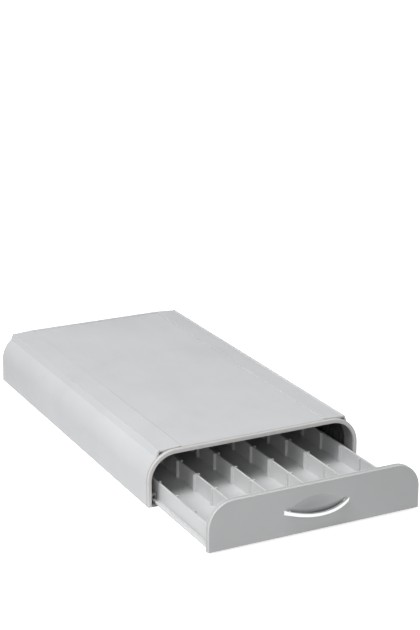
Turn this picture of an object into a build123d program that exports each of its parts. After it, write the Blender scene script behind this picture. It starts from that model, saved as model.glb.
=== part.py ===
from build123d import *
import math
import os

os.makedirs("parts", exist_ok=True)

# Coffee pod drawer: a low moulded housing with a load-bearing deck, and a five-lane
# capsule drawer that slides out of its arched front. Millimetres, +Z up. The origin is on
# the table under the middle of the housing. The drawer opens towards -Y.

# ------------------------------------------------------------------ driving dimensions

# Housing
deck_height = 54.5  # table to the recessed middle of the deck
wall = 2.0  # moulded wall of the housing
foot_proud = 0.5  # rubber feet below the base plate
tongue_room = 2.5  # runner to the inner face of the side wall, for the snap tongues
rear_room = 9.5  # drawer tray to the foot of the rear wall, for the sill and its bosses
rear_lean = 3.0  # degrees the rear wall leans forward
rear_round = 2.0  # rounding of the rear outline

# Housing cross-section
shoulder_radius = 29.0  # round shoulder of the side walls and of the front rim
shoulder_turn = 50.0  # degrees of shoulder before the steep face under the ridge
ridge_lean = 20.0  # degrees from upright of that steep face
ridge_rise = 0.2  # crest of the ridge along each side, above the recessed deck
ridge_width = 1.4
ridge_round = 0.6
valley_drop = 0.7  # foot of the ridge, below the recessed deck
strip_rise = 0.9  # inner edge of the sloping deck strip, above the recessed deck
strip_width = 23.9  # ridge to recess
back_lip = 4.0  # raised lip behind the recess

# Ribs inside the housing
rib_thickness = 1.6
deck_rib_depth = 5.0
deck_rib_pitch_x = 50.0
deck_rib_count_along = 3
deck_rib_count_across = 5
mouth_rib_pitch = 6.2  # upright ribs on the side walls behind the mouth
mouth_rib_count = 8
mouth_rib_depth = 1.3
mouth_rib_foot = 14.0

# Front frame: the arched rim and the sleeve behind it
rim_proud = 4.0  # rim in front of the housing's end face
rim_width = 3.6  # rim at the sides
rim_top_width = 4.2  # rim over the mouth
rim_round = 1.1
sleeve_depth = 15.0  # sleeve behind the rim
frame_clearance = 0.2  # frame to housing and base

# Base plate
plate_thickness = 1.8
lip_gap = 0.5  # drawer front above the plate's front lip
seat_height = 1.2  # raised seat under each runner
seat_overlap = 1.0  # plate's front tongue into the plate
glide_height = 0.4  # glide beads under the tray
glide_width = 3.0
sill_height = 1.4  # bar across the back, behind the tray
snap_count = 3
snap_width = 12.0
snap_height = 8.0
snap_thickness = 1.2
barb = 1.0
snap_spacing = 110.0

# Runners, C-shaped in section
runner_web = 2.6
runner_ledge = 1.8
runner_lip = 1.2
runner_gap = 0.6  # side play between runner and flange
lift_gap = 0.4  # upright play between runner and flange
runner_front_gap = 0.5  # runner behind the closed drawer front
runner_rear_gap = 14.5  # runner short of the rear wall's foot
runner_mouth = 5.3  # seat to the underside of the ledge
lip_setback = 0.3  # groove for the runner lip, off the side wall
peg_count = 4  # pegs under each runner, staked into the seat
peg_length = 8.0
peg_recess = 0.3  # peg ends above the plate's underside
stop_nib = 4.0  # end stop in the mouth of each runner

# Drawer
drawer_recess = 1.5  # closed drawer front behind the rim's face
drawer_opening = 117.8  # as drawn
drawer_travel = 300.0  # closed to end stop
stop_gap = 0.3
front_gap = 0.7  # drawer front to rim, all round

# Capsule lanes
lane_count = 5
lane_width = 38.6  # clear width of a lane
row_count = 10
row_pitch = 37.2
divider_thickness = 1.6
tray_wall = 2.0
tray_floor = 1.8
tray_gap = 0.3  # tray above the glide beads
lane_height = 17.2  # lane walls above the tray floor
row_start = 5.0  # tray front wall to the first row
tab_depth = 2.5  # row tabs on the lane walls
tab_thickness = 1.8
slot_rib = 1.2  # ribs that hold the ends of the dividers
slot_reach = 2.0  # of those ribs, into the lanes
tongue_depth = 1.0  # tongues of the floor and end walls, in grooves of the side walls
tongue_thickness = 0.9
fit = 0.15  # loose fit between seated pieces
flange_width = 4.4  # runner flange outside the side wall
groove_width = 1.9  # groove for the runner lip
groove_depth = 0.9
lug_length = 8.0
lug_width = 1.8

# Drawer front
front_thickness = 5.0
front_skin = 2.2
front_radius = 25.5
front_bevel = 0.5
flange_thickness = 2.2
front_rib_depth = 2.0
scoop_half = 32.0  # half length of the finger scoop
scoop_rise = 10.0  # half height of the finger scoop
scoop_depth = 3.2
scoop_height = 28.0  # centre of the scoop above the table
scoop_margin = 3.0  # solid backing round the scoop

# Bow handle
bow_half = 34.0
bow_reach = 9.5  # in front of the drawer front
bow_inner_half = 27.0
bow_inner_reach = 6.5
bow_end_foot = 24.2  # under edge at the ends
bow_mid_foot = 20.4  # under edge in the middle
bow_end_top = 28.8
bow_mid_top = 23.8
bow_bevel = 0.5
stud_spacing = 59.0
stud_width = 4.0  # square studs
stud_height = 25.4
stud_root = 0.5  # studs start this far inside the bow

# Feet and fasteners
foot_width = 14.0  # square rubber pads
foot_thickness = 1.3
foot_inset_x = 19.0  # foot centre inside the side wall
foot_inset_y = 24.0  # foot centre inside the front and rear
screw_fit = 0.06  # radial play of a screw in its hole
head_fit = 0.25
small_shank = 1.8  # handle screws
small_head = 6.0
large_shank = 2.4  # base and drawer front screws
large_head = 5.0
head_thickness = 1.1
base_screw_count = 3
base_screw_spacing = 66.0
boss_width = 6.0  # square bosses
boss_set_in = 1.0  # bosses in front of the plate's rear edge
screw_bite = 5.0  # length of thread past the clamped piece
skin_left = 1.5  # least skin in front of a blind screw hole

# ------------------------------------------------------------------ derived places

lean = math.radians(rear_lean)
base_z = foot_proud
plate_top = base_z + plate_thickness
ceiling_z = deck_height - wall
ridge_z = deck_height + ridge_rise
valley_z = deck_height - valley_drop
strip_z = deck_height + strip_rise

# Widths: the lanes set the tray, the tray the runners, and the runners the housing
lane_pitch = lane_width + divider_thickness
tray_inner = (lane_count * lane_pitch - divider_thickness) / 2
tray_half = tray_inner + tray_wall
flange_half = tray_half + flange_width
web_inner = flange_half + runner_gap
web_outer = web_inner + runner_web
liner_half = web_outer + tongue_room  # frame sleeve and base plate
half_width = liner_half + frame_clearance + wall
shoulder_x = half_width - shoulder_radius
shoulder_z = deck_height - shoulder_radius
mouth_half = half_width - rim_width
mouth_top = deck_height - rim_top_width
mouth_radius = shoulder_radius - rim_width

# Depths: the rows set the tray, and the tray the housing
tray_depth = row_start + row_count * row_pitch + 2 * tray_wall
front_y = -(drawer_recess + front_thickness + tray_depth + rear_room) / 2
rear_y = -front_y
end_face_y = front_y + rim_proud
panel_front_y = front_y + drawer_recess
panel_back_y = panel_front_y + front_thickness
tray_front_y = panel_back_y
front_in_y = tray_front_y + tray_wall
rows_y = front_in_y + row_start
tray_rear_y = tray_front_y + tray_depth
rear_in_y = tray_rear_y - tray_wall
runner_front_y = panel_back_y + runner_front_gap
runner_rear_y = rear_y - runner_rear_gap
sill_front_y = tray_rear_y + stop_gap
plate_rear_y = rear_y - wall - frame_clearance - plate_thickness * math.tan(lean)
boss_y = plate_rear_y - boss_width / 2 - boss_set_in

# Heights of the drawer and its runners
tray_z = plate_top + glide_height + tray_gap
floor_z = tray_z + tray_floor
lane_top = floor_z + lane_height
seat_z = plate_top + seat_height
ledge_under = seat_z + runner_mouth
ledge_top = ledge_under + runner_ledge
lip_centre = tray_half + lip_setback + groove_width / 2

# Drawer front
panel_half = mouth_half - front_gap
panel_top = mouth_top - front_gap
panel_foot = plate_top + lip_gap
panel_screw_z = floor_z + lane_height / 2

# ------------------------------------------------------------------ building blocks


def span(x0, x1, y0, y1, z0, z1):
    """Rectangular block between two limits on each axis."""
    block = Box(x1 - x0, y1 - y0, z1 - z0)
    return Pos((x0 + x1) / 2, (y0 + y1) / 2, (z0 + z1) / 2) * block


def along_y(outline, y0, y1):
    """Outline drawn as (X, Z), extruded from y0 to y1."""
    back = Plane(origin=(0, y1, 0), x_dir=(1, 0, 0), z_dir=(0, -1, 0))
    return extrude(back * outline, amount=y1 - y0)


def both_sides(shape):
    """The shape and its mirror image across the middle of the product."""
    return shape + mirror(shape, Plane.YZ)


def arch(half, foot, top, radius):
    """Upright outline with straight legs and two round top corners."""
    plain = Pos(0, (foot + top) / 2) * Rectangle(2 * half, top - foot)
    return fillet(plain.vertices().group_by(Axis.Y)[-1], radius)


def rod(diameter, length, at, along=(0, 0, 1)):
    """Cylinder of a given length that starts at a point and runs one way."""
    return extrude(Plane(origin=at, z_dir=along) * Circle(diameter / 2), amount=length)


def post(width, at, y0, y1):
    """Square post along Y, centred on an (X, Z) point."""
    x, z = at
    half = width / 2
    return span(x - half, x + half, y0, y1, z - half, z + half)


def pad(width, at, z0, z1):
    """Square pad, centred on an (X, Y) point."""
    x, y = at
    half = width / 2
    return span(x - half, x + half, y - half, y + half, z0, z1)


def screw(shank, head, grip, at, along):
    """Screw with a flat round head. The head's underside is at the point; the shank runs along."""
    back = tuple(-c for c in along)
    return rod(head, head_thickness, at, back) + rod(shank, grip, at, along)


def spread(count, pitch):
    """Places of evenly spaced copies, on both sides of zero."""
    return [(i - (count - 1) / 2) * pitch for i in range(count)]


def rear_plane(inset):
    """Leaning plane of the rear wall, moved inwards by the inset."""
    return Plane(
        origin=(0, rear_y - inset / math.cos(lean), base_z),
        x_dir=(1, 0, 0),
        z_dir=(0, math.cos(lean), math.sin(lean)),
    )


def name_and_write(shape, name):
    """Write one piece under its own name."""
    shape.label = name
    export_step(shape, f"parts/{name}.step")


# ------------------------------------------------------------------ housing shell


def shoulder_point(inset):
    """Where the round shoulder ends and the steep face under the ridge begins."""
    turn = math.radians(shoulder_turn)
    radius = shoulder_radius - inset
    return shoulder_x + radius * math.cos(turn), shoulder_z + radius * math.sin(turn)


def steep_face_x(inset, z):
    """X of the steep face at a height."""
    x, z0 = shoulder_point(inset)
    return x - (z - z0) * math.tan(math.radians(ridge_lean))


def shoulder_line(inset, foot):
    """Side wall and round shoulder, from the foot up."""
    radius = shoulder_radius - inset
    side = half_width - inset
    half_turn = math.radians(shoulder_turn / 2)
    middle = (
        shoulder_x + radius * math.cos(half_turn),
        shoulder_z + radius * math.sin(half_turn),
    )
    upright = Line((side, foot), (side, shoulder_z))
    return upright + ThreePointArc((side, shoulder_z), middle, shoulder_point(inset))


def closed_section(right_half):
    """Face from the right half of an outline and its mirror image."""
    return make_face(right_half + mirror(right_half, Plane.YZ))


def outer_section():
    """Cross-section of the housing up to the sloping strips of the deck."""
    half = shoulder_line(0, base_z) + Polyline(
        shoulder_point(0),
        (steep_face_x(0, valley_z), valley_z),
        (recess_half(), strip_z),
        (0, strip_z),
    )
    return closed_section(half + Line((half_width, base_z), (0, base_z)))


def recess_half():
    """Half the width of the recess, which the sloping strips leave in the deck."""
    return steep_face_x(0, valley_z) - strip_width


def right_ridge():
    """Raised lip along the right edge of the deck, dying out into the rear rounding."""
    foot_x = steep_face_x(0, valley_z)
    crest_x = steep_face_x(0, ridge_z)
    inner_x = crest_x - ridge_width
    slope_x = inner_x - (ridge_z - valley_z)
    root_z = valley_z - ridge_width / 2
    section = make_face(
        Polyline(
            (foot_x - ridge_width / 2, root_z),
            (foot_x, valley_z),
            (crest_x, ridge_z),
            (inner_x, ridge_z),
            (slope_x, valley_z),
            (slope_x, root_z),
            close=True,
        )
    )
    crests = [v for v in section.vertices() if abs(v.Y - ridge_z) < fit]
    section = fillet(crests, ridge_round)
    ridge = along_y(section, end_face_y, rear_y)
    end = rear_plane(rear_round)
    return split(ridge, bisect_by=end, keep=Keep.BOTTOM)


def inner_section():
    """Cross-section of the cavity, one wall inside the outer one."""
    half = shoulder_line(wall, 0) + Polyline(
        shoulder_point(wall), (steep_face_x(wall, ceiling_z), ceiling_z), (0, ceiling_z)
    )
    return closed_section(half + Line((half_width - wall, 0), (0, 0)))


def deck_ribs():
    """Crossing ribs under the deck, which carry the weight of what stands on it."""
    rib_foot = ceiling_z - deck_rib_depth
    rib_head = ceiling_z + wall / 2
    first_y = front_y + rim_proud + sleeve_depth + fit
    last_y = rear_y - wall - deck_height * math.tan(lean)
    rib_half = steep_face_x(wall, ceiling_z) - rib_thickness
    half = rib_thickness / 2
    ribs = []
    for x in spread(deck_rib_count_along, deck_rib_pitch_x):
        ribs.append(span(x - half, x + half, first_y, last_y, rib_foot, rib_head))
    pitch_y = (last_y - first_y) / deck_rib_count_across
    for i in range(deck_rib_count_across):
        y = first_y + i * pitch_y
        ribs.append(span(-rib_half, rib_half, y, y + rib_thickness, rib_foot, rib_head))
    return ribs


def mouth_ribs():
    """Upright ribs that stiffen both side walls just behind the sleeve."""
    first_y = end_face_y + sleeve_depth + rib_thickness
    inner = half_width - wall
    ribs = []
    for i in range(mouth_rib_count):
        y = first_y + i * mouth_rib_pitch
        for side in (-1, 1):
            x0, x1 = sorted((side * (inner - mouth_rib_depth), side * (inner + wall / 2)))
            ribs.append(span(x0, x1, y, y + rib_thickness, mouth_rib_foot, shoulder_z))
    return ribs


def base_screw_places():
    """X of each screw that holds the base plate to the bosses at the back."""
    return spread(base_screw_count, base_screw_spacing)


def snap_places():
    """Y of each snap tongue along a side of the base plate."""
    return spread(snap_count, snap_spacing)


def housing_shell():
    """Deck, ridges, shoulders and walls in one moulding, ribbed inside and open at the front."""
    body = along_y(outer_section(), end_face_y, rear_y)
    body = split(body, bisect_by=rear_plane(0), keep=Keep.BOTTOM)
    rear_face = body.faces().sort_by(Axis.Y)[-1]
    rear_edges = [e for e in rear_face.edges() if e.center().Z > base_z + fit]
    body = fillet(rear_edges, rear_round) + both_sides(right_ridge())

    cavity = along_y(inner_section(), end_face_y, rear_y)
    body -= split(cavity, bisect_by=rear_plane(wall), keep=Keep.BOTTOM)

    recess_rear_y = rear_y - (deck_height - base_z) * math.tan(lean) - back_lip
    recess = span(0, recess_half(), front_y, recess_rear_y, deck_height, deck_height + wall)
    body -= both_sides(recess)

    body += deck_ribs() + mouth_ribs()
    boss_foot = plate_top + sill_height + fit
    boss_y0, boss_y1 = boss_y - boss_width / 2, boss_y + boss_width / 2
    for x in base_screw_places():
        x0, x1 = x - boss_width / 2, x + boss_width / 2
        body += span(x0, x1, boss_y0, boss_y1, boss_foot, ceiling_z + wall / 2)
        body -= rod(large_shank + 2 * screw_fit, screw_bite + fit, (x, boss_y, boss_foot))

    window_z = base_z + snap_height
    for y in snap_places():
        window = span(
            half_width - wall - frame_clearance,
            half_width - wall + barb,
            y - snap_width / 2 - fit,
            y + snap_width / 2 + fit,
            window_z - 2 * barb,
            window_z + fit,
        )
        body -= both_sides(window)
    return body


# ------------------------------------------------------------------ front frame


def front_frame():
    """Arched rim round the mouth, with the sleeve that lines the housing behind it."""
    """Arched rim, proud of the housing, with a sleeve that lines the mouth."""
    rim_back_y = end_face_y - frame_clearance
    rim = along_y(arch(half_width, base_z, deck_height, shoulder_radius), front_y, rim_back_y)
    rim_edges = rim.faces().sort_by(Axis.Y)[0].edges()
    rim = fillet([e for e in rim_edges if e.center().Z > base_z + fit], rim_round)

    sleeve_top = ceiling_z - frame_clearance
    sleeve_foot = seat_z + frame_clearance
    liner_radius = shoulder_radius - wall - frame_clearance
    liner = arch(liner_half, sleeve_foot, sleeve_top, liner_radius)
    sleeve = along_y(liner, rim_back_y, end_face_y + sleeve_depth)
    mouth = arch(mouth_half, -deck_height, mouth_top, mouth_radius)
    return rim + sleeve - along_y(mouth, front_y - rim_proud, rear_y)


# ------------------------------------------------------------------ base plate


def foot_places():
    """Centre of each foot, by name."""
    x = half_width - foot_inset_x
    y = rear_y - foot_inset_y
    return {
        "foot_front_left": (-x, -y),
        "foot_front_right": (x, -y),
        "foot_rear_left": (-x, y),
        "foot_rear_right": (x, y),
    }


def runner_pegs(play, foot_z):
    """Pegs under the right runner's web, or their sockets with some play, between the tongues."""
    half = peg_length / 2 + play
    return [
        span(web_inner - play, web_outer + play, y - half, y + half, foot_z, seat_z)
        for y in spread(peg_count, snap_spacing)
    ]


def snap_tongue(y):
    """Upright tongue with an outward barb, on the right side of the base plate."""
    outer = liner_half
    top = base_z + snap_height
    profile = Polyline(
        (outer - snap_thickness, base_z),
        (outer - snap_thickness, top),
        (outer, top),
        (outer + barb - frame_clearance, top - barb),
        (outer, top - barb),
        (outer, base_z),
        close=True,
    )
    return along_y(make_face(profile), y - snap_width / 2, y + snap_width / 2)


def base_plate():
    """Floor of the housing: front lip, runner seats, glide beads, rear sill and snap tongues."""
    plate_front_y = end_face_y + frame_clearance
    plate = span(-liner_half, liner_half, plate_front_y, plate_rear_y, base_z, plate_top)
    lip_half = mouth_half - frame_clearance
    plate += span(-lip_half, lip_half, front_y, plate_front_y + seat_overlap, base_z, plate_top)

    seat_inner = flange_half + lift_gap
    seat = span(seat_inner, liner_half, runner_front_y, plate_rear_y, base_z, seat_z)
    bead_x = tray_half - tray_wall / 2
    bead = span(
        bead_x - glide_width / 2,
        bead_x + glide_width / 2,
        end_face_y,
        sill_front_y,
        base_z,
        plate_top + glide_height,
    )
    plate += both_sides(seat) + both_sides(bead)
    plate += span(-seat_inner, seat_inner, sill_front_y, plate_rear_y, base_z, plate_top + sill_height)
    for y in snap_places():
        plate += both_sides(snap_tongue(y))

    for x, y in foot_places().values():
        plate -= pad(foot_width + 2 * fit, (x, y), base_z, foot_thickness)
    for socket in runner_pegs(fit, 0):
        plate -= both_sides(socket)
    for x in base_screw_places():
        plate -= rod(large_shank + 2 * screw_fit, seat_z + sill_height, (x, boss_y, 0))
        plate -= rod(large_head + 2 * head_fit, head_thickness + fit + base_z, (x, boss_y, 0))
    return plate


def foot(at):
    """Square rubber foot, pressed into its pocket."""
    return pad(foot_width, at, 0, foot_thickness)


# ------------------------------------------------------------------ runners


def right_runner():
    """C-shaped track: web, ledge over the flange, and a lip in the flange's groove."""
    groove_floor = floor_z - groove_depth
    lip_in = lip_centre - runner_lip / 2
    section = Polyline(
        (web_inner, seat_z),
        (web_outer, seat_z),
        (web_outer, ledge_top),
        (lip_in, ledge_top),
        (lip_in, groove_floor + lift_gap),
        (lip_in + runner_lip, groove_floor + lift_gap),
        (lip_in + runner_lip, ledge_under),
        (web_inner, ledge_under),
        close=True,
    )
    track = along_y(make_face(section), runner_front_y, runner_rear_y)
    track += runner_pegs(0, base_z + peg_recess)

    lug_in = flange_half - lug_width
    nib_foot = floor_z + lift_gap
    ramp = Plane.YZ * make_face(
        Polyline(
            (runner_front_y, ledge_under),
            (runner_front_y + stop_nib, nib_foot),
            (runner_front_y + stop_nib, ledge_under),
            close=True,
        )
    )
    return track + Pos(lug_in, 0, 0) * extrude(ramp, amount=web_inner - lug_in)


def base_screws():
    """Screws up through the rear sill into the housing's bosses."""
    at_z = base_z + head_thickness + fit
    grip = plate_top + sill_height - at_z + screw_bite - fit
    places = [(x, boss_y, at_z) for x in base_screw_places()]
    return Compound([screw(large_shank, large_head, grip, at, (0, 0, 1)) for at in places])


# ------------------------------------------------------------------ drawer tray


def row_lines():
    """Y of the line in front of each row of capsules."""
    return [rows_y + i * row_pitch for i in range(row_count)]


def divider_places():
    """X of each lane divider."""
    return spread(lane_count - 1, lane_pitch)


def panel_screw_xs():
    """X of the drawer front's screws: the middle of the lanes beside the centre one."""
    return [-lane_pitch, lane_pitch]


def row_tabs(x0, x1):
    """Tabs on a lane wall, one in front of each row of capsules."""
    half = tab_thickness / 2
    return [span(x0, x1, y - half, y + half, floor_z, lane_top) for y in row_lines()]


def groove_tongue(play):
    """Tongue along the right edge of the tray floor, or its groove in the side wall."""
    middle = tray_z + tray_floor / 2
    half = tongue_thickness / 2 + play
    reach = tray_inner + tongue_depth + play
    return span(0, reach, tray_front_y, tray_rear_y, middle - half, middle + half)


def end_tongue(wall_y, play):
    """Upright tongue at the right end of an end wall, or its groove in the side wall."""
    middle = wall_y + tray_wall / 2
    half = tongue_thickness / 2 + play
    reach = tray_inner + tongue_depth + play
    return span(0, reach, middle - half, middle + half, floor_z, lane_top)


def tray_floor_panel():
    """Floor of the capsule tray, tongued into both side walls."""
    floor = span(-tray_inner, tray_inner, tray_front_y, tray_rear_y, tray_z, floor_z)
    return floor + both_sides(groove_tongue(0))


def right_side_wall():
    """Side wall of the tray, with its row tabs, runner flange and stop lug."""
    side = span(tray_inner, tray_half, tray_front_y, tray_rear_y, tray_z, lane_top)
    side += span(tray_half, flange_half, tray_front_y, tray_rear_y, tray_z, floor_z)
    side += row_tabs(tray_inner - tab_depth, tray_inner)

    lug_y = runner_front_y + stop_nib + drawer_travel + stop_gap
    lug_x = flange_half - lug_width
    lug_top = ledge_under - lift_gap
    side += span(lug_x, flange_half, lug_y, lug_y + lug_length, tray_z, lug_top)

    groove_x = lip_centre - groove_width / 2
    groove_z = floor_z - groove_depth
    side -= span(groove_x, groove_x + groove_width, tray_front_y, tray_rear_y, groove_z, lane_top)
    return side - groove_tongue(fit) - end_tongue(tray_front_y, fit) - end_tongue(rear_in_y, fit)


def end_wall(wall_y, inward):
    """Front or rear wall of the tray, with a slot for the end of each lane divider."""
    end = span(-tray_inner, tray_inner, wall_y, wall_y + tray_wall, floor_z, lane_top)
    end += both_sides(end_tongue(wall_y, 0))
    middle_y = wall_y + tray_wall / 2
    slot = divider_thickness / 2 + fit
    y0, y1 = sorted((middle_y, middle_y + inward * (tray_wall / 2 + slot_reach)))
    for x in divider_places():
        for rib_x in (x - slot - slot_rib, x + slot):
            end += span(rib_x, rib_x + slot_rib, y0, y1, floor_z, lane_top)
    return end


def tray_front_wall():
    """Front wall of the tray, with clearance holes for the drawer front's screws."""
    front = end_wall(tray_front_y, 1)
    for x in panel_screw_xs():
        hole_at = (x, front_in_y + slot_reach, panel_screw_z)
        front -= rod(large_shank + 2 * screw_fit, tray_wall + 2 * slot_reach, hole_at, (0, -1, 0))
    return front


def lane_divider(x):
    """Thin upright strip with row tabs on both faces, its ends held in slots."""
    half = divider_thickness / 2
    strip = span(x - half, x + half, front_in_y + fit, rear_in_y - fit, floor_z, lane_top)
    return strip + row_tabs(x - half - tab_depth, x + half + tab_depth)


# ------------------------------------------------------------------ drawer front


def scoop_cutter():
    """Spindle whose skin sinks softly into the drawer front over a pointed outline."""
    axis_gap = (scoop_rise**2 - scoop_depth**2) / (2 * scoop_depth)
    quarter, mid = scoop_half / 2, scoop_depth / 2
    left = TangentArc((-scoop_half, 0), (-quarter, mid), tangent=(1, 0))
    crown = ThreePointArc((-quarter, mid), (0, scoop_depth), (quarter, mid))
    right = mirror(left, Plane.YZ)
    back = Polyline((scoop_half, 0), (scoop_half, -axis_gap), (-scoop_half, -axis_gap), (-scoop_half, 0))
    profile = make_face(left + crown + right + back)
    spindle = revolve(profile, Axis((0, -axis_gap, 0), (1, 0, 0)))
    return Pos(0, panel_front_y, scoop_height) * spindle


def lens(half, rise):
    """Pointed outline between two equal arcs."""
    upper = ThreePointArc((-half, 0), (0, rise), (half, 0))
    return make_face(upper + mirror(upper, Plane.XZ))


def front_panel():
    """Arched drawer front: a skin with a return flange, a lens boss and a finger scoop."""
    outline = arch(panel_half, panel_foot, panel_top, front_radius)
    panel = along_y(outline, panel_front_y, panel_back_y)
    panel = chamfer(panel.faces().sort_by(Axis.Y)[0].edges(), front_bevel)

    hollow = arch(
        panel_half - flange_thickness,
        panel_foot + flange_thickness,
        panel_top - flange_thickness,
        front_radius - flange_thickness,
    )
    backing = Pos(0, scoop_height) * lens(scoop_half + 2 * scoop_margin, scoop_rise + scoop_margin)
    panel -= along_y(hollow - backing, panel_front_y + front_skin, panel_back_y)
    for x in panel_screw_xs():
        boss_at = (x, panel_back_y, panel_screw_z)
        panel += post(boss_width, (x, panel_screw_z), panel_front_y + front_skin / 2, panel_back_y)
        panel -= rod(large_shank + 2 * screw_fit, front_thickness - skin_left + fit, boss_at, (0, -1, 0))

    half = rib_thickness / 2
    rib_y = panel_front_y + front_skin / 2
    rib_back_y = panel_front_y + front_skin + front_rib_depth
    for x in divider_places():
        panel += span(x - half, x + half, rib_y, rib_back_y, panel_foot + wall, panel_top - wall)
    panel -= scoop_cutter()
    for x in spread(2, stud_spacing):
        panel -= post(stud_width + 2 * fit, (x, stud_height), panel_front_y - fit, panel_back_y + fit)
    return panel


def panel_screws():
    """Screws through the tray's front wall into the drawer front's bosses."""
    grip = tray_wall + front_thickness - skin_left
    places = [(x, front_in_y, panel_screw_z) for x in panel_screw_xs()]
    return Compound([screw(large_shank, large_head, grip, at, (0, -1, 0)) for at in places])


# ------------------------------------------------------------------ bow handle


def bow_handle():
    """Bow that swells forward in plan and droops in the middle, on two studs."""
    plan_outer = ThreePointArc((-bow_half, 0), (0, -bow_reach), (bow_half, 0))
    plan_inner = ThreePointArc((-bow_inner_half, 0), (0, -bow_inner_reach), (bow_inner_half, 0))
    ends = Line((-bow_half, 0), (-bow_inner_half, 0)) + Line((bow_inner_half, 0), (bow_half, 0))
    plan = extrude(make_face(plan_outer + plan_inner + ends), amount=deck_height)

    left, right = -bow_half, bow_half
    under = ThreePointArc((left, bow_end_foot), (0, bow_mid_foot), (right, bow_end_foot))
    over = ThreePointArc((left, bow_end_top), (0, bow_mid_top), (right, bow_end_top))
    left_end = Line((left, bow_end_foot), (left, bow_end_top))
    right_end = Line((right, bow_end_foot), (right, bow_end_top))
    band = along_y(make_face(under + over + left_end + right_end), -2 * bow_reach, bow_reach)

    bow = Pos(0, panel_front_y, 0) * (plan & band)
    bow = chamfer([e for e in bow.edges() if e.center().Y < panel_front_y - fit], bow_bevel)
    for x in spread(2, stud_spacing):
        bow += post(stud_width, (x, stud_height), panel_front_y - stud_root, panel_back_y)
        pilot = (x, panel_back_y, stud_height)
        bow -= rod(small_shank + 2 * screw_fit, front_thickness - skin_left + fit, pilot, (0, -1, 0))
    return bow


def handle_screws():
    """Screws through the back of the drawer front into the handle's studs."""
    grip = front_thickness - skin_left
    places = [(x, panel_back_y, stud_height) for x in spread(2, stud_spacing)]
    return Compound([screw(small_shank, small_head, grip, at, (0, -1, 0)) for at in places])


# ------------------------------------------------------------------ write every piece

right = right_runner()
name_and_write(housing_shell(), "housing_shell")
name_and_write(front_frame(), "front_frame")
name_and_write(base_plate(), "base_plate")
name_and_write(right, "right_runner")
name_and_write(mirror(right, Plane.YZ), "left_runner")
name_and_write(base_screws(), "base_screws")
for name, place in foot_places().items():
    name_and_write(foot(place), name)

pulled_out = Pos(0, -drawer_opening, 0)
side_wall = right_side_wall()
name_and_write(pulled_out * tray_floor_panel(), "tray_floor")
name_and_write(pulled_out * side_wall, "right_side_wall")
name_and_write(pulled_out * mirror(side_wall, Plane.YZ), "left_side_wall")
name_and_write(pulled_out * tray_front_wall(), "tray_front_wall")
name_and_write(pulled_out * end_wall(rear_in_y, -1), "tray_rear_wall")
for number, place in enumerate(divider_places(), start=1):
    name_and_write(pulled_out * lane_divider(place), f"lane_divider_{number}")
name_and_write(pulled_out * front_panel(), "front_panel")
name_and_write(pulled_out * bow_handle(), "bow_handle")
name_and_write(pulled_out * handle_screws(), "handle_screws")
name_and_write(pulled_out * panel_screws(), "panel_screws")
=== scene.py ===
import math

import bmesh
import bpy
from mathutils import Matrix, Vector


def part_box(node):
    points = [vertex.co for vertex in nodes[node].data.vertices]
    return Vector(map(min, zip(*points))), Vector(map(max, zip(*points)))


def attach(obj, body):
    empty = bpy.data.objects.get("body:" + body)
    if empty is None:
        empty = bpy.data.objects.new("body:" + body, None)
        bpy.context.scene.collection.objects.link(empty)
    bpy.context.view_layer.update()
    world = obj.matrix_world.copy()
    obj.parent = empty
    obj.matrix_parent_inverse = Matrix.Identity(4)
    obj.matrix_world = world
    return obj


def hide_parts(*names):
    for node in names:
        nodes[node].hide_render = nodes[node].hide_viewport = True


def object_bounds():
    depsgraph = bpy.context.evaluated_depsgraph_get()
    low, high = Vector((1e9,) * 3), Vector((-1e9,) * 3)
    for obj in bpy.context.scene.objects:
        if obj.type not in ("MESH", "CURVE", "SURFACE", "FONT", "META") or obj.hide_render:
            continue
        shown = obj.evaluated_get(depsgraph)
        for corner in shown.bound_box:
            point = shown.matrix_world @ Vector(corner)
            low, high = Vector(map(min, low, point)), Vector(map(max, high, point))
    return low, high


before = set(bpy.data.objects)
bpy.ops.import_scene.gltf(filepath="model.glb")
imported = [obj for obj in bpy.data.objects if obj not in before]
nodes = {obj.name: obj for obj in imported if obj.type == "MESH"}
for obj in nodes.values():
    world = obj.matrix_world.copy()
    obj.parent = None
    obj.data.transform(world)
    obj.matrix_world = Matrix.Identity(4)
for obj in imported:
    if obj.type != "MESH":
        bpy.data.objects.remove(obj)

# Looks of the coffee pod drawer. Metres, +Z up. The drawer opens towards -Y.

MM = 0.001

# ------------------------------------------------------------------ named values

# Camera, as the photograph was taken
CAMERA_PLACE = Vector((-0.69843, -1.48487, 0.63945))
CAMERA_AZIMUTH = -26.7756  # degrees round the object, 0 looks along +Y
CAMERA_ELEVATION = 17.6567  # degrees above the horizon
CAMERA_LENS = 93.98
CAMERA_SENSOR = 36.0

# Light
SKY_STRENGTH = 0.27
KEY_PLACE = Vector((-1.60, -0.62, 1.30))
KEY_SIZE = 0.8
KEY_POWER = 15.5
TOP_PLACE = Vector((-0.35, -0.45, 1.75))
TOP_SIZE = 0.9
TOP_POWER = 18.0
FILL_PLACE = Vector((-0.50, -0.85, 0.40))
FILL_SIZE = 0.4
FILL_POWER = 1.2
LAMP_TARGET = Vector((0, -0.05, 0.03))
WHITE = (1, 1, 1, 1)

FLOOR_HALF = 4.0
FLOOR_COLOUR = (0.80, 0.80, 0.80, 1)
FLOOR_GLOW = 0.79  # added to the lit floor where the camera sees it
FLOOR_GLOSS = 0.30  # and where a reflection does
FLAG_PLACE = Vector((0.42, 0.25, 0.60))  # black card over the object, for chrome to reflect
FLAG_HALF = Vector((0.46, 0.62, 0.0))

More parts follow.
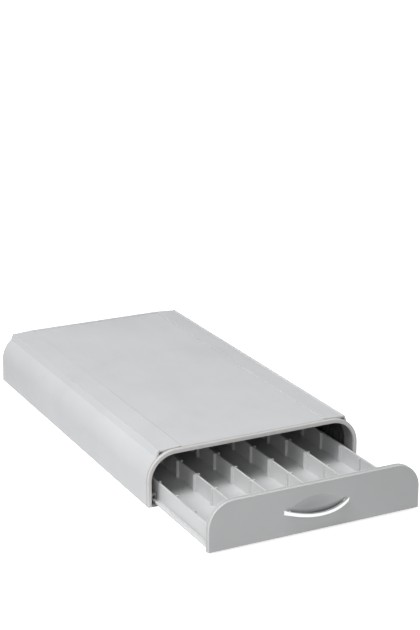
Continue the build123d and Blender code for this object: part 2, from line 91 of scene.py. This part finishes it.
# Moulded plastic: noise in cells per metre, tones as factors of the colour, heights in metres
PLASTIC_IOR = 1.47
CLOUD_CELLS = 14
CLOUD_TONE = 0.045  # lighter and darker than the colour
STREAK_CELLS = 26
STREAK_TONE = 1.05
STREAK_STRETCH = (1, 1, 0.12)
GRAIN_CELLS = 2600
GRAIN_TONE = 0.93
GRAIN_STRENGTH = 0.5
GRAIN_HEIGHT = 0.00006
SCUFF_CELLS = 60
SCUFF_STRETCH = (1, 0.25, 1)
SCUFF_SPREAD = 0.16  # of the roughness, either way
WAVE_CELLS = 35
WAVE_STRENGTH = 0.12
WAVE_HEIGHT = 0.0006
POLISH_HEIGHT = 0.00003  # fine lines of chrome and screws

# Painted highlights along edges
EDGE_BEVEL = 0.0006  # edge radius of the plastic pieces,
FRONT_BEVEL = 0.0011  # and of the drawer front
BEVEL_SAMPLES = 6
EDGE_FIRST = 0.005  # turn of the normal where an edge begins to show,
EDGE_FULL = 0.12  # and where it shows in full
EDGE_HIGHLIGHT_COLOUR = (0.98, 0.98, 0.97, 1)
HOUSING_EDGE_HIGHLIGHT = 0.25  # how far edges are painted bright as a highlight: on the housing,
RIM_EDGE_HIGHLIGHT = 0.7  # on its rim and in the drawer,
FRONT_EDGE_HIGHLIGHT = 1.0  # and on the drawer front

# Painted shade inside the housing and on the drawer front
INNER_SHADE_COLOUR = (0.085, 0.085, 0.09, 1)  # painted shade on the faces inside the housing
SHOULDER_X = 0.085  # centre of the round shoulder
SHOULDER_Z = 0.0255
SHOULDER_RADIUS = 0.029
WALL = 0.002  # of the housing
REAR_SLOPE = 0.0524  # lean of the rear wall
END_FACE_Y = -0.1945  # front end of the housing shell
RIM_BACK_Y = -0.1970  # where the rim's face ends
SLEEVE_SHADE = 0.6  # how far painted shade darkens the sleeve behind the rim
HANDLE_SHADE = 0.12  # colour left in the crescent behind the bow
CRESCENT_Z = 0.0200  # foot of the shaded crescent, in the middle
CRESCENT_RISE = 7.47  # it climbs with the square of x
CRESCENT_HEIGHT = 0.0042
CRESCENT_HALF = 0.028

# Smooth pieces that stand for CAD nodes
CORNER_STEPS = 5
CORNER_SHARE = 0.49  # most of a side that one round corner takes
SMOOTH_ANGLE = 40  # sharper turns, in degrees, keep their edge

# Bow handle: its arcs, in millimetres
BOW_INNER_HALF = 27.0
BOW_INNER_REACH = 6.5
BOW_MID_TOP = 23.8  # upper edge in the middle,
BOW_END_FOOT = 24.2  # and lower edge at the ends
BOW_STATIONS = 72
BOW_ROUND = 0.9
BOW_END = 0.995  # its last rings stop just short of the pointed ends
STUD_SPACING = 59.0
STUD_HALF = 2.0
STUD_HEIGHT = 25.4
STUD_ROUND = 0.5
STUD_OVERLAP = 0.4  # studs start inside the bow

# Feet and screws, in millimetres
FOOT_ROUND = 1.8
FOOT_EDGE = 0.3  # height of its slanted edges
FOOT_TOP = 0.94  # shares of the foot's half width
FOOT_SOLE = 0.95
FOOT_GROOVES = ((0.76, 0.62), (0.42, 0.28))
FOOT_GROOVE = 0.22  # groove depth
GROOVE_SLANT = 0.03
SCREW_SIDES = 40
SMALL_SHANK = 1.8
SMALL_HEAD = 6.0
LARGE_SHANK = 2.4
LARGE_HEAD = 5.0
HEAD_THICKNESS = 1.1
HEAD_RIM = ((0.35, 0.0), (0.1, 0.12), (0.0, 0.35))  # in from the edge, down from the top
THREAD_START = 0.3
THREAD_PITCH = 0.8
THREAD_DEPTH = 0.22
DRIVE_WIDTH = 0.22  # half width and reach of a cross arm, as shares of the head's radius
DRIVE_REACH = 0.56
DRIVE_TAPER = 0.7
DRIVE_DEPTH = 0.7
LEAST_SINE = 0.01  # keeps the cross arms' outline finite

cad_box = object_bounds()


# ------------------------------------------------------------------ shader helpers


class Shader:
    """A small builder for one procedural material."""

    def __init__(self, name):
        self.material = bpy.data.materials.new(name)
        self.material.use_nodes = True
        self.tree = self.material.node_tree
        self.surface = self.tree.nodes["Principled BSDF"]
        self.place = self.tree.nodes.new("ShaderNodeTexCoord").outputs["Object"]

    def node(self, kind, **values):
        """New node of a kind, with its settings."""
        made = self.tree.nodes.new(kind)
        for name, value in values.items():
            setattr(made, name, value)
        return made

    def link(self, source, target):
        """Joins an output to an input."""
        self.tree.links.new(source, target)

    def noise(self, scale, detail=2.0, roughness=0.5, stretch=(1, 1, 1)):
        """Noise value over the object's own coordinates; scale in cells per metre."""
        mapping = self.node("ShaderNodeMapping")
        mapping.inputs["Scale"].default_value = stretch
        self.link(self.place, mapping.inputs["Vector"])
        noise = self.node("ShaderNodeTexNoise")
        noise.inputs["Scale"].default_value = scale
        noise.inputs["Detail"].default_value = detail
        noise.inputs["Roughness"].default_value = roughness
        self.link(mapping.outputs["Vector"], noise.inputs["Vector"])
        return noise.outputs["Fac"]

    def ranged(self, value, low, high, from_low=0.3, from_high=0.7):
        """Value moved from one range to another."""
        node = self.node("ShaderNodeMapRange")
        node.inputs["From Min"].default_value = from_low
        node.inputs["From Max"].default_value = from_high
        node.inputs["To Min"].default_value = low
        node.inputs["To Max"].default_value = high
        self.link(value, node.inputs["Value"])
        return node.outputs["Result"]

    def blend(self, factor, first, second):
        """Colour mixed by a factor; either colour may be a socket."""
        node = self.node("ShaderNodeMix", data_type="RGBA")
        self.link(factor, node.inputs["Factor"])
        for socket, colour in ((node.inputs["A"], first), (node.inputs["B"], second)):
            if isinstance(colour, tuple):
                socket.default_value = colour
            else:
                self.link(colour, socket)
        return node.outputs["Result"]

    def math(self, operation, first, second=0.0):
        """Value from two values or sockets."""
        node = self.node("ShaderNodeMath", operation=operation)
        for socket, value in zip(node.inputs, (first, second)):
            if isinstance(value, (int, float)):
                socket.default_value = value
            else:
                self.link(value, socket)
        return node.outputs[0]

    def axes(self):
        """X, Y and Z of the object's own coordinates."""
        split = self.node("ShaderNodeSeparateXYZ")
        self.link(self.place, split.inputs[0])
        return split.outputs

    def edges(self, radius):
        """1 along convex and concave edges, 0 on open faces, and the rounded normal."""
        bevel = self.node("ShaderNodeBevel", samples=BEVEL_SAMPLES)
        bevel.inputs["Radius"].default_value = radius
        dot = self.node("ShaderNodeVectorMath", operation="DOT_PRODUCT")
        self.link(bevel.outputs["Normal"], dot.inputs[0])
        self.link(self.node("ShaderNodeNewGeometry").outputs["Normal"], dot.inputs[1])
        turn = self.math("SUBTRACT", 1.0, dot.outputs["Value"])
        return self.ranged(turn, 0, 1, EDGE_FIRST, EDGE_FULL), bevel.outputs["Normal"]

    def bump(self, height, strength, distance, below=None):
        """Bump on top of another normal."""
        node = self.node("ShaderNodeBump")
        node.inputs["Strength"].default_value = strength
        node.inputs["Distance"].default_value = distance
        self.link(height, node.inputs["Height"])
        if below is not None:
            self.link(below, node.inputs["Normal"])
        return node.outputs["Normal"]


def grey(level, warm=0.0):
    """Neutral colour, a little warmer or cooler."""
    return (level * (1 + warm), level, level * (1 - warm), 1)


def scaled(colour, factor):
    """Lighter or darker shade of a colour."""
    return tuple(c * factor for c in colour[:3]) + (1,)


def moulded_plastic(name, colour, roughness, lift, bevel=EDGE_BEVEL, inner=None, shade=None):
    """Satin moulded plastic: fine grain, soft flow streaks, scuffs, painted highlights along edges and
    painted shade from the inner and shade masks.
    """
    shader = Shader(name)
    cloudy = shader.noise(CLOUD_CELLS, 3, 0.55)
    streaks = shader.noise(STREAK_CELLS, 2, 0.5, STREAK_STRETCH)
    fine = shader.noise(GRAIN_CELLS, 2)
    dark, light = scaled(colour, 1 - CLOUD_TONE), scaled(colour, 1 + CLOUD_TONE)
    tone = shader.blend(shader.ranged(cloudy, 0, 1), dark, light)
    tone = shader.blend(shader.ranged(streaks, 0, 0.5), tone, scaled(colour, STREAK_TONE))
    tone = shader.blend(shader.ranged(fine, 0, 0.35), tone, scaled(colour, GRAIN_TONE))
    edge, rounded = shader.edges(bevel)
    # painted highlight: edges turn bright
    tone = shader.blend(shader.math("MULTIPLY", edge, lift), tone, EDGE_HIGHLIGHT_COLOUR)
    # painted shade inside the housing and on the sleeve behind the rim
    if inner is not None:
        tone = shader.blend(inner(shader), tone, INNER_SHADE_COLOUR)
    if shade is not None:
        tone = shader.blend(shade(shader), tone, scaled(colour, HANDLE_SHADE))
    shader.link(tone, shader.surface.inputs["Base Color"])
    scuff = shader.noise(SCUFF_CELLS, 4, 0.6, SCUFF_STRETCH)
    rough = shader.ranged(scuff, roughness * (1 - SCUFF_SPREAD), roughness * (1 + SCUFF_SPREAD))
    shader.link(rough, shader.surface.inputs["Roughness"])
    shader.surface.inputs["IOR"].default_value = PLASTIC_IOR
    wave = shader.bump(shader.noise(WAVE_CELLS, 1), WAVE_STRENGTH, WAVE_HEIGHT, rounded)
    grain = shader.bump(fine, GRAIN_STRENGTH, GRAIN_HEIGHT, wave)
    shader.link(grain, shader.surface.inputs["Normal"])
    return shader


def shell_inside_shade(shader):
    """1 on the inner faces of the housing, by their depth under its outer skin; there the colour is darkened
    as painted shade.
    """
    x, y, z = shader.axes()
    across = shader.math("SUBTRACT", shader.math("ABSOLUTE", x), SHOULDER_X)
    up = shader.math("SUBTRACT", z, SHOULDER_Z)
    squares = [shader.math("POWER", shader.math("MAXIMUM", side, 0.0), 2.0) for side in (across, up)]
    reach = shader.math("SQRT", shader.math("ADD", *squares))
    under = shader.math("LESS_THAN", reach, SHOULDER_RADIUS - WALL / 2)
    behind = shader.math("ADD", y, shader.math("MULTIPLY", z, REAR_SLOPE))
    front_of_back = shader.math("LESS_THAN", behind, cad_box[1].y - WALL / 2)
    behind_face = shader.math("GREATER_THAN", y, END_FACE_Y + WALL / 4)
    return shader.math("MULTIPLY", shader.math("MULTIPLY", under, front_of_back), behind_face)


def sleeve_shade(shader):
    """Fades from the rim's face to painted shade on the sleeve behind it."""
    x, y, z = shader.axes()
    return shader.math("MULTIPLY", shader.ranged(y, 0, 1, RIM_BACK_Y, END_FACE_Y), SLEEVE_SHADE)


def under_bow(shader):
    """Soft dark crescent in the finger scoop, along the bow, where little light gets in."""
    x, y, z = shader.axes()
    rise = shader.math("MULTIPLY", shader.math("POWER", x, 2.0), CRESCENT_RISE)
    above = shader.math("SUBTRACT", z, shader.math("ADD", rise, CRESCENT_Z))
    upper = shader.ranged(above, 1, 0, 0.0, CRESCENT_HEIGHT)
    lower = shader.ranged(above, 0, 1, -CRESCENT_HEIGHT, 0.0)
    off_middle = shader.math("ABSOLUTE", x)
    ends = shader.ranged(off_middle, 1, 0, CRESCENT_HALF, CRESCENT_HALF + CRESCENT_HEIGHT)
    return shader.math("MULTIPLY", shader.math("MULTIPLY", upper, lower), ends)


def chrome(name):
    """Chrome plate with a trace of polish lines and handling haze."""
    shader = Shader(name)
    haze = shader.noise(90, 3)
    lines = shader.noise(900, 2, 0.5, (0.05, 1, 1))
    tone = shader.blend(shader.ranged(haze, 0, 1), grey(0.86, -0.01), grey(0.92, -0.005))
    shader.link(tone, shader.surface.inputs["Base Color"])
    shader.surface.inputs["Metallic"].default_value = 1.0
    shader.link(shader.ranged(haze, 0.05, 0.11), shader.surface.inputs["Roughness"])
    shader.link(shader.bump(lines, 0.06, POLISH_HEIGHT), shader.surface.inputs["Normal"])
    return shader


def plated_steel(name):
    """Zinc-plated screws: mottled, with a fine rough skin."""
    shader = Shader(name)
    mottle = shader.noise(420, 3)
    tone = shader.blend(shader.ranged(mottle, 0, 1), grey(0.45, 0.02), grey(0.62, 0.03))
    shader.link(tone, shader.surface.inputs["Base Color"])
    shader.surface.inputs["Metallic"].default_value = 1.0
    shader.link(shader.ranged(mottle, 0.28, 0.45), shader.surface.inputs["Roughness"])
    shader.link(shader.bump(shader.noise(2500, 2), 0.1, POLISH_HEIGHT), shader.surface.inputs["Normal"])
    return shader


def rubber(name):
    """Dark matt rubber with a dusty bloom."""
    shader = Shader(name)
    bloom = shader.noise(160, 4, 0.6)
    tone = shader.blend(shader.ranged(bloom, 0, 1), grey(0.018), grey(0.045))
    shader.link(tone, shader.surface.inputs["Base Color"])
    shader.link(shader.ranged(bloom, 0.72, 0.9), shader.surface.inputs["Roughness"])
    shader.link(shader.bump(shader.noise(3000, 2), 0.5, GRAIN_HEIGHT), shader.surface.inputs["Normal"])
    return shader


# ------------------------------------------------------------------ materials of the frame

MATERIALS = {
    "shell_plastic": moulded_plastic(
        "shell_plastic_look", grey(0.59, -0.018), 0.42, HOUSING_EDGE_HIGHLIGHT, inner=shell_inside_shade
    ),
    "frame_plastic": moulded_plastic(
        "frame_plastic_look", grey(0.58, 0.014), 0.36, RIM_EDGE_HIGHLIGHT, inner=sleeve_shade
    ),
    # base plate and runners: darker greys, painted shade for the shade inside the housing and along the
    # drawer
    "base_plastic": moulded_plastic("base_plastic_look", grey(0.16), 0.55, HOUSING_EDGE_HIGHLIGHT),
    "runner_plastic": moulded_plastic("runner_plastic_look", grey(0.26), 0.42, HOUSING_EDGE_HIGHLIGHT),
    "tray_plastic": moulded_plastic("tray_plastic_look", grey(0.62, -0.01), 0.40, RIM_EDGE_HIGHLIGHT),
    "divider_plastic": moulded_plastic("divider_plastic_look", grey(0.68, -0.006), 0.40, RIM_EDGE_HIGHLIGHT),
    "panel_plastic": moulded_plastic(
        "panel_plastic_look", grey(0.455, -0.012), 0.33, FRONT_EDGE_HIGHLIGHT, bevel=FRONT_BEVEL, shade=under_bow
    ),
    "chrome_plate": chrome("chrome_plate_look"),
    "foot_rubber": rubber("foot_rubber_look"),
    "screw_steel": plated_steel("screw_steel_look"),
}


def dress_frame():
    """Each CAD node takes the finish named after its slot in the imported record."""
    for node in nodes.values():
        for material_slot in node.material_slots:
            slot_name = material_slot.material.name.split(".")[0]
            material_slot.material = MATERIALS[slot_name].material


# ------------------------------------------------------------------ mesh helpers


def arc_drop(x, half, sag):
    """Fall of a circular arc below its crown, at x; it falls by sag at half."""
    radius = (half**2 + sag**2) / (2 * sag)
    return radius - math.sqrt(max(radius**2 - x**2, 0))


def round_rectangle(low_a, high_a, low_b, high_b, radius):
    """Outline of a rounded rectangle as (a, b) pairs, counter-clockwise."""
    radius = min(radius, CORNER_SHARE * (high_a - low_a), CORNER_SHARE * (high_b - low_b))
    corners = [
        (high_a - radius, high_b - radius, 0),
        (low_a + radius, high_b - radius, 90),
        (low_a + radius, low_b + radius, 180),
        (high_a - radius, low_b + radius, 270),
    ]
    points = []
    for a, b, start in corners:
        for step in range(CORNER_STEPS + 1):
            turn = math.radians(start + 90 * step / CORNER_STEPS)
            points.append((a + radius * math.cos(turn), b + radius * math.sin(turn)))
    return points


def loft(mesh, rings):
    """Closed skin through rings of points, given in millimetres, with a cap at both ends."""
    layers = [[mesh.verts.new(Vector(point) * MM) for point in ring] for ring in rings]
    sides = len(layers[0])
    for lower, upper in zip(layers, layers[1:]):
        for i in range(sides):
            j = (i + 1) % sides
            mesh.faces.new((lower[i], lower[j], upper[j], upper[i]))
    mesh.faces.new(layers[0][::-1])
    mesh.faces.new(layers[-1])


def piece_from(mesh, name, body, slot, *replaced):
    """Object made from a bmesh: dressed, riding on its body and standing for its nodes."""
    bmesh.ops.recalc_face_normals(mesh, faces=mesh.faces)
    data = bpy.data.meshes.new(name)
    mesh.to_mesh(data)
    mesh.free()
    data.materials.append(MATERIALS[slot].material)
    data.shade_smooth()
    data.set_sharp_from_angle(angle=math.radians(SMOOTH_ANGLE))
    piece = bpy.data.objects.new(name, data)
    bpy.context.scene.collection.objects.link(piece)
    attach(piece, body)
    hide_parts(*replaced)


# ------------------------------------------------------------------ bow handle


def make_bow():
    """Chrome bow: swells forward in plan, droops in the middle, with rounded edges."""
    low, high = (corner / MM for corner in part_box("bow_handle"))
    face_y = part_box("front_panel")[0].y / MM
    half, reach = high.x, face_y - low.y
    mid_foot, end_top = low.z, high.z
    rings = []
    for i in range(BOW_STATIONS + 1):
        x = BOW_END * half * math.sin(math.pi * (i / BOW_STATIONS - 0.5))
        outer = face_y - reach + arc_drop(x, half, reach)
        inner = face_y
        if abs(x) < BOW_INNER_HALF:
            inner = face_y - BOW_INNER_REACH + arc_drop(x, BOW_INNER_HALF, BOW_INNER_REACH)
        foot = mid_foot + arc_drop(x, half, BOW_END_FOOT - mid_foot)
        top = BOW_MID_TOP + arc_drop(x, half, end_top - BOW_MID_TOP)
        rings.append([(x, y, z) for y, z in round_rectangle(outer, inner, foot, top, BOW_ROUND)])
    mesh = bmesh.new()
    loft(mesh, rings)
    for x in (-STUD_SPACING / 2, STUD_SPACING / 2):
        bounds = (x - STUD_HALF, x + STUD_HALF, STUD_HEIGHT - STUD_HALF, STUD_HEIGHT + STUD_HALF)
        outline = round_rectangle(*bounds, STUD_ROUND)
        loft(mesh, [[(a, y, b) for a, b in outline] for y in (face_y - STUD_OVERLAP, high.y)])
    piece_from(mesh, "bow_handle_chrome", "drawer", "chrome_plate", "bow_handle")


# ------------------------------------------------------------------ feet


def make_foot(node):
    """Rubber pad with rounded corners and square grooves in its tread."""
    low, high = (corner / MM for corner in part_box(node))
    middle = (low + high) / 2
    full = high.x - middle.x
    steps = [(FOOT_TOP, high.z), (1, high.z - FOOT_EDGE), (1, low.z + FOOT_EDGE), (FOOT_SOLE, low.z)]
    for outer, inner in FOOT_GROOVES:
        steps += [(outer, low.z), (outer - GROOVE_SLANT, low.z + FOOT_GROOVE)]
        steps += [(inner + GROOVE_SLANT, low.z + FOOT_GROOVE), (inner, low.z)]
    rings = []
    for share, z in steps:
        size = share * full
        outline = round_rectangle(-size, size, -size, size, FOOT_ROUND * share)
        rings.append([(middle.x + a, middle.y + b, z) for a, b in outline])
    mesh = bmesh.new()
    loft(mesh, rings)
    piece_from(mesh, node + "_tread", "housing", "foot_rubber", node)


# ------------------------------------------------------------------ screws


def drive_reach(turn):
    """Reach of the cross recess at a turn in radians, as a share of the head's radius."""
    past_arm = math.degrees(turn) % 90
    off_arm = math.radians(min(past_arm, 90 - past_arm))
    return min(DRIVE_REACH / math.cos(off_arm), DRIVE_WIDTH / max(math.sin(off_arm), LEAST_SINE))


def add_screw(mesh, at, along, shank, head, grip):
    """Screw with a domed rim, a cross recess and thread ridges; at is its head's underside."""
    axis = Vector(along)
    side = axis.orthogonal().normalized()
    up = axis.cross(side)
    turns = [2 * math.pi * i / SCREW_SIDES for i in range(SCREW_SIDES)]
    spokes = [side * math.cos(turn) + up * math.sin(turn) for turn in turns]
    top = -HEAD_THICKNESS
    core = shank / 2 - THREAD_DEPTH

    def ring(radius, depth):
        return [at + axis * depth + spoke * radius for spoke in spokes]

    def recess(radius, depth):
        return [at + axis * depth + spoke * radius * drive_reach(turn) for spoke, turn in zip(spokes, turns)]

    rings = [recess(head / 2 * DRIVE_TAPER, top + DRIVE_DEPTH), recess(head / 2, top)]
    rings += [ring(head / 2 - inward, top + down) for inward, down in HEAD_RIM]
    rings += [ring(head / 2, 0), ring(core, 0)]
    ridges = int((grip - 2 * THREAD_START) / THREAD_PITCH)
    for i in range(ridges):
        depth = THREAD_START + i * THREAD_PITCH
        rings += [ring(core, depth), ring(shank / 2, depth + THREAD_PITCH / 2)]
    rings += [ring(core, THREAD_START + ridges * THREAD_PITCH), ring(core, grip)]
    loft(mesh, rings)


def make_screws(node, body, shank, head, along, places):
    """Screws of one node, from the place of each head's underside and the grip."""
    mesh = bmesh.new()
    for at, grip in places:
        add_screw(mesh, at, along, shank, head, grip)
    piece_from(mesh, node + "_driven", body, "screw_steel", node)


def make_all_screws():
    """The screws under the base and those in the drawer front, from the boxes of their nodes."""
    low, high = (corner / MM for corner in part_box("base_screws"))
    under = low.z + HEAD_THICKNESS
    middle_y = (low.y + high.y) / 2
    first = low.x + LARGE_HEAD / 2
    last = high.x - LARGE_HEAD / 2
    places = [(Vector((x, middle_y, under)), high.z - under) for x in (first, (first + last) / 2, last)]
    make_screws("base_screws", "housing", LARGE_SHANK, LARGE_HEAD, (0, 0, 1), places)
    for node, shank, head in (
        ("handle_screws", SMALL_SHANK, SMALL_HEAD),
        ("panel_screws", LARGE_SHANK, LARGE_HEAD),
    ):
        low, high = (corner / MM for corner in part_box(node))
        under = high.y - HEAD_THICKNESS
        middle_z = (low.z + high.z) / 2
        places = [
            (Vector((x, under, middle_z)), under - low.y) for x in (low.x + head / 2, high.x - head / 2)
        ]
        make_screws(node, "drawer", shank, head, (0, -1, 0), places)


# ------------------------------------------------------------------ stage


def background_level(tree, camera_level, gloss_level):
    """A level for camera rays, another for glossy and transmission rays, and 0 for the rest."""
    path = tree.nodes.new("ShaderNodeLightPath")
    parts = []
    for ray, level in (
        ("Is Camera Ray", camera_level),
        ("Is Glossy Ray", gloss_level),
        ("Is Transmission Ray", gloss_level),
    ):
        part = tree.nodes.new("ShaderNodeMath")
        part.operation = "MULTIPLY"
        part.inputs[1].default_value = level
        tree.links.new(path.outputs[ray], part.inputs[0])
        parts.append(part.outputs[0])
    total = parts[0]
    for part in parts[1:]:
        higher = tree.nodes.new("ShaderNodeMath")
        higher.operation = "MAXIMUM"
        tree.links.new(total, higher.inputs[0])
        tree.links.new(part, higher.inputs[1])
        total = higher.outputs[0]
    return total


def make_world():
    """Soft sky for light, and plain white where the camera or a reflection sees it."""
    world = bpy.data.worlds.new("studio")
    world.use_nodes = True
    tree = world.node_tree
    tree.nodes.clear()
    output = tree.nodes.new("ShaderNodeOutputWorld")
    mix = tree.nodes.new("ShaderNodeMixShader")
    tree.links.new(background_level(tree, 1.0, 1.0), mix.inputs[0])
    for strength, shader_input in zip((SKY_STRENGTH, 1.0), mix.inputs[1:]):
        light = tree.nodes.new("ShaderNodeBackground")
        light.inputs["Color"].default_value = WHITE
        light.inputs["Strength"].default_value = strength
        tree.links.new(light.outputs[0], shader_input)
    tree.links.new(mix.outputs[0], output.inputs["Surface"])
    bpy.context.scene.world = world


def flat_sheet(name, middle, half_x, half_y, material):
    """Flat rectangle of the stage."""
    signs = ((-1, -1), (1, -1), (1, 1), (-1, 1))
    mesh = bpy.data.meshes.new(name)
    mesh.from_pydata([(half_x * a, half_y * b, 0) for a, b in signs], [], [(0, 1, 2, 3)])
    mesh.materials.append(material)
    sheet = bpy.data.objects.new(name, mesh)
    sheet.location = middle
    bpy.context.scene.collection.objects.link(sheet)
    return sheet


def make_flag():
    """Black card over the object that only reflections see, so that chrome has its dark lines."""
    material = bpy.data.materials.new("flag_black")
    material.use_nodes = True
    surface = material.node_tree.nodes["Principled BSDF"]
    surface.inputs["Base Color"].default_value = grey(0.01)
    surface.inputs["Roughness"].default_value = 1.0
    flag = flat_sheet("flag", FLAG_PLACE, FLAG_HALF.x, FLAG_HALF.y, material)
    flag.visible_camera = False
    flag.visible_diffuse = False
    flag.visible_transmission = False
    flag.visible_shadow = False


def make_floor():
    """Plain pale floor that keeps the shadow and melts into the white behind it."""
    material = bpy.data.materials.new("floor_paper")
    material.use_nodes = True
    tree = material.node_tree
    tree.nodes.clear()
    output = tree.nodes.new("ShaderNodeOutputMaterial")
    paper = tree.nodes.new("ShaderNodeBsdfDiffuse")
    paper.inputs["Color"].default_value = FLOOR_COLOUR
    glow = tree.nodes.new("ShaderNodeEmission")
    tree.links.new(background_level(tree, FLOOR_GLOW, FLOOR_GLOSS), glow.inputs["Strength"])
    both = tree.nodes.new("ShaderNodeAddShader")
    tree.links.new(paper.outputs[0], both.inputs[0])
    tree.links.new(glow.outputs[0], both.inputs[1])
    tree.links.new(both.outputs[0], output.inputs["Surface"])
    flat_sheet("floor", (0, 0, 0), FLOOR_HALF, FLOOR_HALF, material)


def area_lamp(name, place, target, size, power):
    """Square lamp that faces its target."""
    light = bpy.data.lights.new(name, "AREA")
    light.size = size
    light.energy = power
    lamp = bpy.data.objects.new(name, light)
    lamp.location = place
    lamp.rotation_euler = (place - target).to_track_quat("Z", "Y").to_euler()
    bpy.context.scene.collection.objects.link(lamp)


def make_camera():
    """Camera fitted to the photograph."""
    turn, lift = math.radians(CAMERA_AZIMUTH), math.radians(CAMERA_ELEVATION)
    back = Vector((math.sin(turn) * math.cos(lift), -math.cos(turn) * math.cos(lift), math.sin(lift)))
    data = bpy.data.cameras.new("camera")
    data.sensor_fit = "VERTICAL"
    data.sensor_height = CAMERA_SENSOR
    data.lens = CAMERA_LENS
    camera = bpy.data.objects.new("camera", data)
    camera.location = CAMERA_PLACE
    camera.rotation_euler = back.to_track_quat("Z", "Y").to_euler()
    bpy.context.scene.collection.objects.link(camera)
    bpy.context.scene.camera = camera


# ------------------------------------------------------------------ make everything

make_camera()
make_world()
make_floor()
make_flag()
area_lamp("key", KEY_PLACE, LAMP_TARGET, KEY_SIZE, KEY_POWER)
area_lamp("top", TOP_PLACE, LAMP_TARGET, TOP_SIZE, TOP_POWER)
area_lamp("fill", FILL_PLACE, LAMP_TARGET, FILL_SIZE, FILL_POWER)
dress_frame()
make_bow()
for foot_node in [name for name in nodes if name.startswith("foot_")]:
    make_foot(foot_node)
make_all_screws()

bpy.context.scene.view_settings.view_transform = "Standard"
